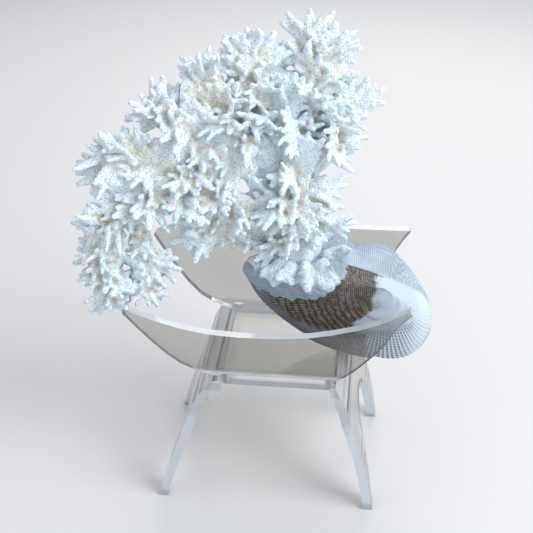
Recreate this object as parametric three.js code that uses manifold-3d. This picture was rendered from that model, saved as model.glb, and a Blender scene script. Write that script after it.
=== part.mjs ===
// Branching coral that grew on a closed clam shell, lying in a clear acrylic cradle stand.
// Units are millimetres. +Z is up, +X is to the right and +Y is away from the front.
// The stand's centre line and the floor are the origin while the parts are made.
// The last step moves everything so that the origin is under the middle of the whole object.
import * as THREE from 'three';
import { mergeVertices } from 'three/addons/utils/BufferGeometryUtils.js';
import Module from 'manifold-3d';

const wasm = await Module();
wasm.setup();

// ---- driving dimensions of the stand ----
const SHEET = 6.35;              // thickness of the acrylic sheet
const SEAT_TOP = 100;            // height of the seat's upper face
const SEAT_LEFT = -31;           // left end of the seat, where the left legs bend down
const SEAT_RIGHT = 44;           // right end of the seat
const SEAT_HALF_DEPTH = 47.5;    // seat's half depth, out to where the flaps bend up
const FLAP_LEAN = 12;            // degrees that each flap leans out
const BEND_IN = 4;               // inner radius of the flaps' bends
const LEG_SPLAY = 78;            // each foot's distance from the centre line
const FOOT_OUT = 60;             // outer edge of each foot, front and back
const FOOT_WIDTH = 10;
const ARCH_TOP = 62;             // height of the arch between a front leg and its back leg
const NOTCH_R = 3.4;             // relief hole at each corner of the seat

// ---- driving dimensions of the shell ----
const UMBO = [78, 0, 160];       // point of the hinge line beside the beaks
const BEAK_RISE = 10;            // how far the beaks stand above the hinge line
const HALF_THICK = 31;           // height of each valve's dome
const VALVE_WALL = 4;
const SEAM_GAP = 0.2;            // half of the gap between the valves
const GAP = 0.35;                // clearance between pieces that touch
const RINGS = 6;                 // steps from a beak to the rim
const AROUND = 32;               // steps round the rim
const CRUST = 2.6;               // thickness of the coral's crust over the shell
const CRUST_MIDDLE = [11, 0, 181];
const CRUST_REACH = [42, 60, 31]; // the crust's half extents right, back and up

// The shell's outline round the rim, right and up from the hinge point.
const RIM = [
  [0, 0], [-12, 4], [-26, 8], [-52, 13], [-80, 12], [-97, 3], [-90, -18], [-60, -46],
  [-34, -58.5], [-10, -64], [8, -66], [21, -62], [31, -50], [35, -30], [28, -14], [13, -5],
];

// ---- the coral's limbs ----
// route: the limb's middle line. r: its half width at the start and at the end.
// flat: its thickness over its width, because the limbs are fans that face the front and back.
// tips: [how far along the limb the branch leaves, x, y, z of its tip].
const LIMBS = {
  coral_trunk: {
    route: [[19, -3, 176], [15, -2, 196], [11, -2, 222], [13, 2, 246]],
    r: [21, 17],
    flat: 0.8,
    tips: [
      [0.25, 58, 2, 199], [0.45, 45, 0, 213], [0.6, 50, 2, 226], [0.35, 34, -28, 198],
      [0.3, 12, -34, 194], [0.55, 24, -32, 214], [0.6, 0, -34, 212], [0.85, 12, -32, 238],
      [0.2, 30, 28, 192], [0.5, 10, 34, 212], [0.75, 26, 32, 234], [0.8, -6, 32, 236],
      [0.1, -12, -22, 180], [0.15, -8, 20, 186],
    ],
  },
  coral_crown: {
    route: [[14, 4, 250], [20, 7, 276], [29, 10, 304]],
    r: [14, 17],
    flat: 0.5,
    tips: [
      [0.75, 9, 11, 340.5], [0.8, 20, 12, 341], [1, 29, 13, 329], [1, 37, 13, 336], [1, 48, 14, 333],
      [0.95, 50, 12, 323], [0.8, 50, 8, 314], [0.6, 18, -18, 300], [0.5, 34, -16, 292],
      [0.4, 22, 32, 290], [0.7, 30, 30, 308], [0.2, 6, -24, 276],
    ],
  },
  coral_right_fan: {
    route: [[22, 4, 240], [34, 6, 256], [43, 8, 272]],
    r: [12, 11],
    flat: 0.55,
    tips: [
      [1, 58, 12, 303], [1, 63, 12, 296], [0.95, 60, 9, 286], [0.8, 54, 8, 280], [0.6, 55, 8, 267],
      [0.35, 53, 5, 259], [0.15, 51, 4, 245], [0.4, 40, -20, 256], [0.7, 42, -14, 276],
      [0.5, 40, 28, 262], [0.9, 48, 26, 284],
    ],
  },
  coral_top_fan: {
    route: [[4, 3, 254], [-6, 2, 278], [-13, 0, 302]],
    r: [13, 15],
    flat: 0.5,
    tips: [
      [1, -23, 0, 336], [1, -14, 2, 334], [0.95, -32, -2, 329], [0.8, -31, -8, 318], [0.8, 0, 4, 329],
      [0.6, -4, -18, 306], [0.3, -8, -28, 282], [0.5, -2, 26, 296], [0.8, -16, 22, 314],
      [0.7, 6, 14, 314],
    ],
  },
  coral_upper_left: {
    route: [[-4, -4, 246], [-22, -7, 272], [-40, -10, 298]],
    r: [13, 15],
    flat: 0.5,
    tips: [
      [1, -36, -8, 322], [1, -48, -10, 321], [1, -59, -14, 319], [0.8, -58, -20, 304],
      [0.5, -34, -34, 284], [0.25, -16, -32, 262], [0.6, -30, 18, 292], [0.9, -48, 10, 308],
      [0.7, -24, -22, 302],
    ],
  },
  coral_left_upper: {
    route: [[-14, -8, 240], [-40, -14, 262], [-64, -20, 282]],
    r: [13, 15],
    flat: 0.5,
    tips: [
      [1, -76, -20, 305], [1, -89, -26, 295], [0.95, -91, -30, 284], [0.7, -64, -42, 272],
      [0.4, -42, -40, 258], [0.8, -70, 4, 290], [0.5, -46, 14, 272], [0.8, -60, -34, 292],
    ],
  },
  coral_left: {
    route: [[-24, -14, 234], [-56, -22, 248], [-88, -30, 256]],
    r: [12, 19],
    flat: 0.45,
    tips: [
      [0.95, -99, -30, 277], [0.85, -84, -28, 274], [1, -110, -34, 270], [1, -119, -36, 264],
      [1, -126, -38, 252], [0.9, -122, -40, 238], [0.7, -84, -50, 244], [0.35, -52, -46, 238],
      [0.8, -92, -10, 258], [0.5, -62, -2, 252],
    ],
  },
  coral_arch: {
    route: [[-4, -6, 198], [-25, -14, 218], [-50, -22, 230], [-78, -31, 230], [-100, -39, 216]],
    r: [15, 16],
    flat: 0.6,
    tips: [
      [0.35, -30, -42, 224], [0.5, -48, -50, 220], [0.7, -70, -54, 224], [0.3, -24, 10, 222],
      [0.6, -62, 0, 226], [0.2, -16, -36, 212], [1, -129, -42, 221], [0.95, -104, -58, 212],
    ],
  },
  coral_lobe: {
    route: [[-102, -40, 209], [-109, -43, 190], [-106, -44, 168]],
    r: [15, 12],
    flat: 0.45,
    tips: [
      [0.2, -125, -42, 209], [0.4, -129, -44, 191], [0.7, -126, -46, 175], [0.9, -121, -46, 163],
      [1, -116, -46, 150], [1, -109, -45, 142], [0.5, -112, -62, 188], [0.8, -104, -58, 172],
      [0.6, -112, -24, 184],
    ],
  },
  coral_inner_lobe: {
    route: [[-88, -36, 212], [-83, -36, 190], [-84, -37, 168]],
    r: [9, 8],
    flat: 0.5,
    tips: [
      [1, -88, -39, 152], [1, -79, -37, 155], [0.7, -70, -34, 172], [0.4, -60, -32, 180],
      [0.8, -94, -38, 160],
    ],
  },
  coral_under: {
    route: [[-2, -5, 184], [-22, -12, 199], [-40, -17, 204]],
    r: [11, 10],
    flat: 0.6,
    tips: [
      [1, -49, -20, 184], [0.85, -41, -18, 184], [1, -56, -23, 189], [0.4, -20, -10, 180],
      [0.6, -32, -34, 200],
    ],
  },
};

// Stubby lobes that stand on the crust: from a point on it to a rounded tip.
const STUBS = [
  [[-6, -12, 174], [-15, -16, 172]], [[6, -16, 176], [-2, -30, 170]], [[14, -18, 176], [10, -36, 172]],
  [[24, -18, 176], [24, -36, 170]], [[34, -14, 176], [40, -30, 172]], [[38, -4, 178], [54, 0, 182]],
  [[28, 16, 178], [36, 32, 178]], [[6, 16, 176], [2, 32, 176]],
];

// ---- helpers ----

// One closed Manifold solid from a three.js geometry.
function solid(geometry) {
  const bare = geometry.clone();
  bare.deleteAttribute('normal');
  bare.deleteAttribute('uv');
  const welded = mergeVertices(bare, 1e-4);
  const index = Array.from(welded.index.array);
  const kept = [];
  for (let i = 0; i < index.length; i += 3) {
    const [a, b, c] = [index[i], index[i + 1], index[i + 2]];
    if (a !== b && b !== c && c !== a) kept.push(a, b, c);
  }
  return new wasm.Manifold(new wasm.Mesh({
    numProp: 3,
    vertProperties: new Float32Array(welded.attributes.position.array),
    triVerts: new Uint32Array(kept),
  }));
}

// The largest of a solid's separate bodies: crumbs that a cut leaves behind are dropped.
function largest(body) {
  const parts = body.decompose();
  parts.sort((a, b) => b.volume() - a.volume());
  return parts[0];
}

// A three.js mesh with its own material.
function mesh(name, body, color, settings = {}) {
  const data = body.getMesh();
  const geometry = new THREE.BufferGeometry();
  const n = data.vertProperties.length / data.numProp;
  const xyz = new Float32Array(n * 3);
  for (let i = 0; i < n; i += 1) {
    xyz.set(data.vertProperties.slice(i * data.numProp, i * data.numProp + 3), i * 3);
  }
  geometry.setAttribute('position', new THREE.BufferAttribute(xyz, 3));
  geometry.setIndex(new THREE.BufferAttribute(new Uint32Array(data.triVerts), 1));
  const made = new THREE.Mesh(geometry, new THREE.MeshStandardMaterial({ color, ...settings }));
  made.name = name;
  return made;
}

// A tapered branch with a rounded root and a rounded tip, from point a to point b.
// flat squashes its section towards the plane that faces the front and back.
function branch(a, b, ra, rb, sides = 6, flat = 1) {
  const start = new THREE.Vector3(...a);
  const end = new THREE.Vector3(...b);
  const along = end.clone().sub(start);
  const length = Math.max(along.length() - rb, 1);
  const profile = [
    new THREE.Vector2(0, -ra * 0.7),
    new THREE.Vector2(ra, 0),
    new THREE.Vector2(rb, length),
    new THREE.Vector2(0, length + rb),
  ];
  const geometry = new THREE.LatheGeometry(profile, sides);
  geometry.scale(1, 1, flat);
  along.normalize();
  const beside = new THREE.Vector3().crossVectors(along, new THREE.Vector3(0.17, 1, 0.05)).normalize();
  const through = new THREE.Vector3().crossVectors(beside, along);
  geometry.applyMatrix4(new THREE.Matrix4().makeBasis(beside, along, through).setPosition(start));
  return solid(geometry);
}

// A limb: its route in straight tapered lengths, then a branch out to each tip.
function limb(spec, grow) {
  const route = new THREE.CatmullRomCurve3(spec.route.map((p) => new THREE.Vector3(...p)));
  const steps = spec.route.length - 1;
  const radius = (t) => spec.r[0] + (spec.r[1] - spec.r[0]) * t + grow;
  let body = null;
  for (let i = 0; i < steps; i += 1) {
    const t0 = i / steps;
    const t1 = (i + 1) / steps;
    const end = route.getPoint(t1);
    const beyond = end.clone().sub(route.getPoint(t0)).setLength(radius(t1) * 0.6).add(end);
    const piece = branch(
      route.getPoint(t0).toArray(),
      beyond.toArray(),
      radius(t0),
      radius(t1),
      7,
      spec.flat,
    );
    body = body ? body.add(piece) : piece;
  }
  for (const [t, x, y, z] of spec.tips) {
    const from = route.getPoint(t);
    body = body.add(branch(from.toArray(), [x, y, z], 5.2 + grow, 3 + grow, 5));
  }
  return body;
}

// An outline in the XZ plane, pushed out along Y between two values.
function alongY(points, y0, y1) {
  const shape = new THREE.Shape(points.map(([x, z]) => new THREE.Vector2(x, z)));
  const geometry = new THREE.ExtrudeGeometry(shape, { depth: y1 - y0, bevelEnabled: false });
  geometry.rotateX(Math.PI / 2);
  geometry.translate(0, y1, 0);
  return solid(geometry);
}

// An outline in the YZ plane, pushed out along X between two values.
function alongX(points, x0, x1) {
  const shape = new THREE.Shape(points.map(([y, z]) => new THREE.Vector2(y, z)));
  const geometry = new THREE.ExtrudeGeometry(shape, { depth: x1 - x0, bevelEnabled: false });
  geometry.rotateX(Math.PI / 2);
  geometry.rotateZ(Math.PI / 2);
  geometry.translate(x0, 0, 0);
  return solid(geometry);
}

// Points along a smooth curve through the given ones.
function smooth(points, count) {
  const curve = new THREE.CatmullRomCurve3(points.map(([a, b]) => new THREE.Vector3(a, b, 0)));
  return curve.getPoints(count).map((p) => [p.x, p.y]);
}

// A sheet's section: its upper line, then the same line set back by the thickness.
function sheetSection(line) {
  const under = line.map((p, i) => {
    const before = line[Math.max(i - 1, 0)];
    const after = line[Math.min(i + 1, line.length - 1)];
    const dx = after[0] - before[0];
    const dz = after[1] - before[1];
    const size = Math.hypot(dx, dz);
    return [p[0] + (dz / size) * SHEET, p[1] - (dx / size) * SHEET];
  });
  return [...line, ...under.reverse()];
}

// ---- the stand: one sheet, bent up at the front and back and down at the sides ----
function cradleStand() {
  const lean = THREE.MathUtils.degToRad(FLAP_LEAN);
  const turn = Math.PI / 2 - lean;
  // Upper face of the seat and the inner face of the back flap, from the middle outwards.
  const half = [[0, SEAT_TOP]];
  for (let i = 0; i <= 5; i += 1) {
    const a = (turn * i) / 5;
    half.push([
      SEAT_HALF_DEPTH - SHEET - BEND_IN + BEND_IN * Math.sin(a),
      SEAT_TOP + BEND_IN * (1 - Math.cos(a)),
    ]);
  }
  const rise = 90;
  const last = half[half.length - 1];
  half.push([last[0] + rise * Math.sin(lean), last[1] + rise * Math.cos(lean)]);
  const across = [...half.slice(1).reverse().map(([y, z]) => [-y, z]), ...half.slice(1)];
  const trough = alongX(sheetSection(across), -120, 120);

  // Front view of the flaps: pointed wings over the seat's straight bend.
  // The front flap's top dips in a crescent, and the back flap's top is nearly level.
  const dipped = [[-95, 160], [-83, 154], [-45, 142], [0, 140], [34, 144], [72, 157], [95, 172]];
  const level = [[-95, 158], [-80, 163], [-45, 167], [0, 168], [45, 168], [95, 168.5]];
  const lowRight = smooth([[96, 168], [88, 157], [78, 137], [67, 122], [56, 109], [44, 99], [44, 88]], 10);
  const lowLeft = smooth([[-31, 88], [-31, 99], [-44, 104], [-60, 112], [-78, 131], [-96, 156]], 10);
  const outline = (top) => [...smooth(top, 14), ...lowRight, ...lowLeft];
  const frontHalf = alongY(outline(dipped), -90, 0);
  const backHalf = alongY(outline(level), 0, 90);
  const flaps = trough.intersect(frontHalf.add(backHalf));

  // Side sheets: the seat's ends turn down in a long bend and splay out to the feet.
  const legLine = smooth([
    [-LEG_SPLAY - 1, -6], [-LEG_SPLAY, 0], [-74, 16], [-68, 35], [-61, 54], [-54, 76], [-47, 92],
    [-38, 98.5], [-26, SEAT_TOP],
  ], 16);
  const rightLine = smooth([
    [38, SEAT_TOP], [48, 98.5], [55, 92], [60, 76], [66, 56], [71, 38], [75, 18],
    [LEG_SPLAY, 0], [LEG_SPLAY + 1, -6],
  ], 16);
  const saddle = alongY(sheetSection([...legLine, ...rightLine]), -90, 90);
  const side = (s) => smooth([
    [s * SEAT_HALF_DEPTH, SEAT_TOP + 1], [s * (SEAT_HALF_DEPTH + 2), 99], [s * (FOOT_OUT - 2), 95],
    [s * FOOT_OUT, 86], [s * FOOT_OUT, 50], [s * FOOT_OUT, 0],
  ], 8);
  const arch = smooth([
    [FOOT_OUT - FOOT_WIDTH, 0], [40, 34], [25, 54], [0, ARCH_TOP], [-25, 54], [-40, 34],
    [-(FOOT_OUT - FOOT_WIDTH), 0],
  ], 16);
  const sideView = [...side(1), ...arch, ...side(-1).reverse()];
  let legs = saddle.intersect(alongX(sideView, -120, 120));
  // The legs' shoulders are wider than the seat, so the sheet is cut back between them.
  for (const s of [-1, 1]) {
    const between = new THREE.BoxGeometry(SEAT_RIGHT - SEAT_LEFT, 40, 40);
    between.translate((SEAT_LEFT + SEAT_RIGHT) / 2, s * (SEAT_HALF_DEPTH - 2 + 20), SEAT_TOP);
    legs = legs.subtract(solid(between));
  }

  let stand = flaps.add(legs);
  for (const x of [SEAT_LEFT, SEAT_RIGHT]) {
    for (const y of [-SEAT_HALF_DEPTH, SEAT_HALF_DEPTH]) {
      const hole = new THREE.CylinderGeometry(NOTCH_R, NOTCH_R, 16, 12);
      hole.rotateX(Math.PI / 2);
      hole.translate(x, y, SEAT_TOP - 4);
      stand = stand.subtract(solid(hole));
    }
  }
  return largest(stand);
}

// ---- the shell ----

// One side of a dome over the rim, from the beak out to the rim. side is -1 front, +1 back.
function dome(grow, side) {
  const rim = new THREE.CatmullRomCurve3(
    RIM.map(([x, z]) => new THREE.Vector3(UMBO[0] + x, 0, UMBO[2] + z)),
    true,
  );
  const middle = new THREE.Vector3(UMBO[0] - 20, 0, UMBO[2] - 24);
  const edge = rim.getSpacedPoints(AROUND).slice(0, AROUND);
  const beak = new THREE.Vector3(UMBO[0], 0, UMBO[2] + BEAK_RISE + grow * 0.6);
  const points = [[beak.x, side * (HALF_THICK + grow), beak.z]];
  for (let j = 1; j <= RINGS; j += 1) {
    const s = Math.sin((Math.PI / 2) * (j / RINGS));
    const high = (HALF_THICK + grow) * (1 - s ** 2.1) ** 0.6;
    for (const p of edge) {
      const out = p.clone().sub(middle).setLength(grow).add(p);
      points.push([
        beak.x + (out.x - beak.x) * s,
        side * high,
        beak.z + (out.z - beak.z) * s,
      ]);
    }
  }
  return points;
}

// A closed solid from a dome's outer points and a second skin that closes it.
function closeDome(outer, inner, side) {
  const xyz = [...outer, ...inner].flat();
  const index = [];
  const put = (a, b, c) => (side < 0 ? index.push(a, b, c) : index.push(a, c, b));
  const skin = (base, flip) => {
    const tri = flip ? (a, b, c) => put(a, c, b) : put;
    for (let i = 0; i < AROUND; i += 1) {
      const k = (i + 1) % AROUND;
      tri(base, base + 1 + i, base + 1 + k);
      for (let j = 0; j < RINGS - 1; j += 1) {
        const a = base + 1 + j * AROUND;
        const b = a + AROUND;
        tri(a + i, b + i, b + k);
        tri(a + i, b + k, a + k);
      }
    }
  };
  skin(0, false);
  skin(outer.length, true);
  const a = 1 + (RINGS - 1) * AROUND;
  const b = a + outer.length;
  for (let i = 0; i < AROUND; i += 1) {
    const k = (i + 1) % AROUND;
    put(a + i, b + i, b + k);
    put(a + i, b + k, a + k);
  }
  return { xyz, index };
}

// One valve: a bowl of even wall, open towards the other valve.
function valve(side) {
  const outer = dome(0, side);
  const inner = dome(-VALVE_WALL, side);
  const { xyz, index } = closeDome(outer, inner, side);
  const geometry = new THREE.BufferGeometry();
  geometry.setAttribute('position', new THREE.Float32BufferAttribute(xyz, 3));
  geometry.setIndex(index);
  geometry.translate(0, side * SEAM_GAP, 0);
  return solid(geometry);
}

// The whole shell as one lump, grown outwards: what the crust covers and clears.
function shellLump(grow) {
  const front = dome(grow, -1);
  const back = dome(grow, 1);
  const geometry = new THREE.BufferGeometry();
  const { xyz, index } = closeDome(front, back, -1);
  geometry.setAttribute('position', new THREE.Float32BufferAttribute(xyz, 3));
  geometry.setIndex(index);
  return solid(geometry);
}

// ---- the coral ----
function coralBase(cleared) {
  const patch = new THREE.SphereGeometry(1, 14, 9);
  patch.scale(...CRUST_REACH);
  patch.translate(...CRUST_MIDDLE);
  let base = shellLump(CRUST).intersect(solid(patch));
  for (const [from, to] of STUBS) {
    base = base.add(branch(from, to, 7, 4.5, 5));
  }
  return largest(base.subtract(cleared));
}

const CLEAR = { color: 0xdfe8ee, transparent: true, opacity: 0.35, roughness: 0.05 };
const CORAL = { roughness: 0.9 };

const object = new THREE.Group();
object.name = 'branching_coral';
object.add(mesh('cradle_stand', cradleStand(), CLEAR.color, CLEAR));
object.add(mesh('shell_front_valve', valve(-1), 0x8f857c, { roughness: 0.7 }));
object.add(mesh('shell_back_valve', valve(1), 0xb9b8b6, { roughness: 0.7 }));

// Each coral piece is cut clear of the shell and of the pieces before it.
const cleared = shellLump(GAP + SEAM_GAP);
const base = coralBase(cleared);
object.add(mesh('coral_base', base, 0xe9edf0, CORAL));
let taken = cleared.add(base);
for (const [from, to] of STUBS) {
  taken = taken.add(branch(from, to, 7 + GAP, 4.5 + GAP, 5));
}
taken = taken.add(shellLump(CRUST + GAP));
for (const [name, spec] of Object.entries(LIMBS)) {
  object.add(mesh(name, largest(limb(spec, 0).subtract(taken)), 0xe9edf0, CORAL));
  taken = taken.add(limb(spec, GAP));
}

// Origin: under the middle of the whole object, on the floor.
const box = new THREE.Box3().setFromObject(object, true);
object.position.set(-(box.min.x + box.max.x) / 2, -(box.min.y + box.max.y) / 2, -box.min.z);

const root = new THREE.Group();
root.name = 'coral_on_stand';
root.add(object);
export default root;
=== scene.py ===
# %% [markdown]
# # Branching coral on a clam shell, in an acrylic cradle
# This lesson builds the look of a real display piece: bleached coral that grew on a closed clam,
# resting in a stand bent from one clear sheet. The solid model is loaded first and gives every
# place and size. The coral and the shell are then remade here with the detail they really have.

# %% Load the solid model
import bpy
import math
import numpy as np
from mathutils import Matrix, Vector


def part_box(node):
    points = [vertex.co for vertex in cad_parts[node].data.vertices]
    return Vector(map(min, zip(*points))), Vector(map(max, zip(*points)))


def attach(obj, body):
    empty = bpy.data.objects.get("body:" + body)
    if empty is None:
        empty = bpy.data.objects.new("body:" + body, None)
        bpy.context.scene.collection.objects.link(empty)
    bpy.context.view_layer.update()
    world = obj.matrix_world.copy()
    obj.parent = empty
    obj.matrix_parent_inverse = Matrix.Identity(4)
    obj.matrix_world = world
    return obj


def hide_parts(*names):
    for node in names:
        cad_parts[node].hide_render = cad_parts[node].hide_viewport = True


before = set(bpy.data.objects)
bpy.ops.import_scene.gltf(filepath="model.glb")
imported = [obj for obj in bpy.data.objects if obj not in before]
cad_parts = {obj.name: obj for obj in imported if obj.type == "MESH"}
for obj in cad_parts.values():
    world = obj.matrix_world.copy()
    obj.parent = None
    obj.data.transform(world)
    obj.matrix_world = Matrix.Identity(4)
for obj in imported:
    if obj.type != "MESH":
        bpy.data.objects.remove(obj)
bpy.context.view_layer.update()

# %% [markdown]
# The solids were drawn with the stand's centre line and the shell's seam at zero, then moved so
# that the origin is under the middle of everything. The boxes of the stand and of the two valves
# give that move back. All shapes below are worked out in millimetres from the stand's centre
# line and the seam, and turned into metres at the very end.

# %% Find the stand's centre line and the shell's seam
stand_low, stand_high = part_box("cradle_stand")
front_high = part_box("shell_front_valve")[1]
back_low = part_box("shell_back_valve")[0]
SHIFT = np.array([(stand_low.x + stand_high.x) / 2, (front_high.y + back_low.y) / 2, 0.0])
print("centre line at x =", round(SHIFT[0], 4), "seam at y =", round(SHIFT[1], 5))

# %% [markdown]
# ## Tools for shapes
# Coral is a tree of short blades and fingers. Each one is a tube: an oval carried along a path,
# wide at its root, rounded at its tip. Thousands are needed, so one function makes them all at
# once as arrays, and another puts the arrays into a mesh.

# %% Curves
def unit(v):
    """Each vector divided by its own length."""
    return v / np.maximum(np.linalg.norm(v, axis=-1, keepdims=True), 1e-9)


def spline(points, t, closed=False):
    """Points on a smooth curve through the given ones, at shares t of its spans.
    Each span is a cubic whose end slopes weigh the neighbours by the root of their distance."""
    p = np.array(points, float)
    if closed:
        p = np.concatenate([p[-1:], p, p[:2]])
    else:
        p = np.concatenate([2 * p[:1] - p[1:2], p, 2 * p[-1:] - p[-2:-1]])
    spans = len(p) - 3
    x = np.clip(np.asarray(t, float) * spans, 0, spans - 1e-9)
    i = x.astype(int)
    s = (x - i)[..., None]
    a, b, c, d = p[i], p[i + 1], p[i + 2], p[i + 3]
    ab, bc, cd = (np.sqrt(np.linalg.norm(v, axis=-1, keepdims=True)) + 1e-9
                  for v in (b - a, c - b, d - c))
    m1 = ((b - a) / ab - (c - a) / (ab + bc) + (c - b) / bc) * bc
    m2 = ((c - b) / bc - (d - b) / (bc + cd) + (d - c) / cd) * bc
    return ((2 * s**3 - 3 * s**2 + 1) * b + (s**3 - 2 * s**2 + s) * m1
            + (3 * s**2 - 2 * s**3) * c + (s**3 - s**2) * m2)


def arc(p0, p1, p2, steps):
    """A bent path from p0 to p2, pulled towards p1: weights (1-t)^2, 2t(1-t) and t^2."""
    t = np.linspace(0, 1, steps)[None, :, None]
    return (1 - t) ** 2 * p0[:, None] + 2 * t * (1 - t) * p1[:, None] + t**2 * p2[:, None]


print("halfway on a curve through three points", spline([[0, 0], [1, 2], [4, 2]], 0.5).round(2))

# %% [markdown]
# A tube's rings are ovals. The path's own direction and the way the blade looks give the two
# directions that each oval lies in. Three shrinking rings and a point close each end, as a
# fingertip does, so no tube is left open.

# %% Tubes
def tubes(path, wide, thick, face, sides=8):
    """Closed oval tubes, many at once: centre + beside*wide*cos(a) + through*thick*sin(a).
    path is (n, k, 3), wide and thick are (n, k), face is the (n, 3) way each blade looks.
    Shrinking rings and a last point round off both ends: cos for their width, sin for their
    place along the tube."""
    n = path.shape[0]
    along = unit(np.gradient(path, axis=1))
    beside = unit(np.cross(along, face[:, None]))
    through = np.cross(beside, along)
    turn = np.radians([30.0, 58.0, 80.0])
    back = turn[::-1]
    depth0, depth1 = thick[:, :1, None] * 0.9, thick[:, -1:, None] * 0.9
    first, last = path[:, :1], path[:, -1:]
    way0, way1 = along[:, :1], along[:, -1:]
    path = np.concatenate([first - way0 * depth0 * np.sin(back)[None, :, None], path,
                           last + way1 * depth1 * np.sin(turn)[None, :, None]], 1)
    wide, thick = (np.concatenate([w[:, :1] * np.cos(back), w, w[:, -1:] * np.cos(turn)], 1)
                   for w in (wide, thick))
    beside, through = (np.concatenate([np.repeat(v[:, :1], 3, 1), v, np.repeat(v[:, -1:], 3, 1)], 1)
                       for v in (beside, through))
    k = path.shape[1]
    a = np.arange(sides) * 2 * math.pi / sides
    rings = (path[:, :, None]
             + beside[:, :, None] * (wide[:, :, None] * np.cos(a))[..., None]
             + through[:, :, None] * (thick[:, :, None] * np.sin(a))[..., None])
    ends = [first - way0 * depth0, last + way1 * depth1]
    verts = np.concatenate([rings.reshape(n, k * sides, 3)] + ends, 1)
    i, j = np.meshgrid(np.arange(k - 1), np.arange(sides), indexing="ij")
    q = i * sides + j
    r = i * sides + (j + 1) % sides
    c = np.arange(sides)
    root, tip, rim = k * sides, k * sides + 1, (k - 1) * sides
    faces = np.concatenate([
        np.stack([q, r, r + sides], -1).reshape(-1, 3),
        np.stack([q, r + sides, q + sides], -1).reshape(-1, 3),
        np.stack([np.full(sides, root), (c + 1) % sides, c], -1),
        np.stack([np.full(sides, tip), rim + c, rim + (c + 1) % sides], -1),
    ])
    faces = faces[None] + (np.arange(n) * verts.shape[1])[:, None, None]
    return verts.reshape(-1, 3), faces.reshape(-1, 3)


EXAMPLE = tubes(np.array([[[0, 0, 0], [0, 0, 5], [0, 0, 9.0]]]), np.ones((1, 3)), np.ones((1, 3)),
                np.array([[0, 1.0, 0]]))
print("one short finger has", len(EXAMPLE[0]), "points and", len(EXAMPLE[1]), "triangles")

# %% [markdown]
# Two small helpers: one puts several shapes together as one, and one turns arrays into a Blender
# mesh. The mesh is filled with foreach_set, which takes a whole array at once and is far quicker
# than adding points one by one.

# %% Shapes to meshes
def join(shapes):
    """Several (points, triangles) pairs as one, with each later pair's numbers moved up."""
    counts = np.cumsum([0] + [len(v) for v, f in shapes])
    return (np.concatenate([v for v, f in shapes]),
            np.concatenate([f + c for (v, f), c in zip(shapes, counts)]))


def to_mesh(name, verts, faces):
    """A Blender object at the origin from points in millimetres and triangles or quads."""
    mesh = bpy.data.meshes.new(name)
    co = verts / 1000 + SHIFT
    mesh.vertices.add(len(co))
    mesh.vertices.foreach_set("co", co.ravel())
    size = faces.shape[1]
    mesh.loops.add(faces.size)
    mesh.loops.foreach_set("vertex_index", faces.ravel().astype(np.int32))
    mesh.polygons.add(len(faces))
    mesh.polygons.foreach_set("loop_start", np.arange(0, faces.size, size, dtype=np.int32))
    mesh.update(calc_edges=True)
    mesh.validate()
    obj = bpy.data.objects.new(name, mesh)
    bpy.context.scene.collection.objects.link(obj)
    return obj


print("two fingers joined have", len(join([EXAMPLE, EXAMPLE])[0]), "points")

# %% [markdown]
# ## The coral's plan
# Each limb has a middle line (route), a half width at its start and end, how flat it is, and the
# places of its finger tips. These are the same dimensions that the solid model uses.

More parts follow.
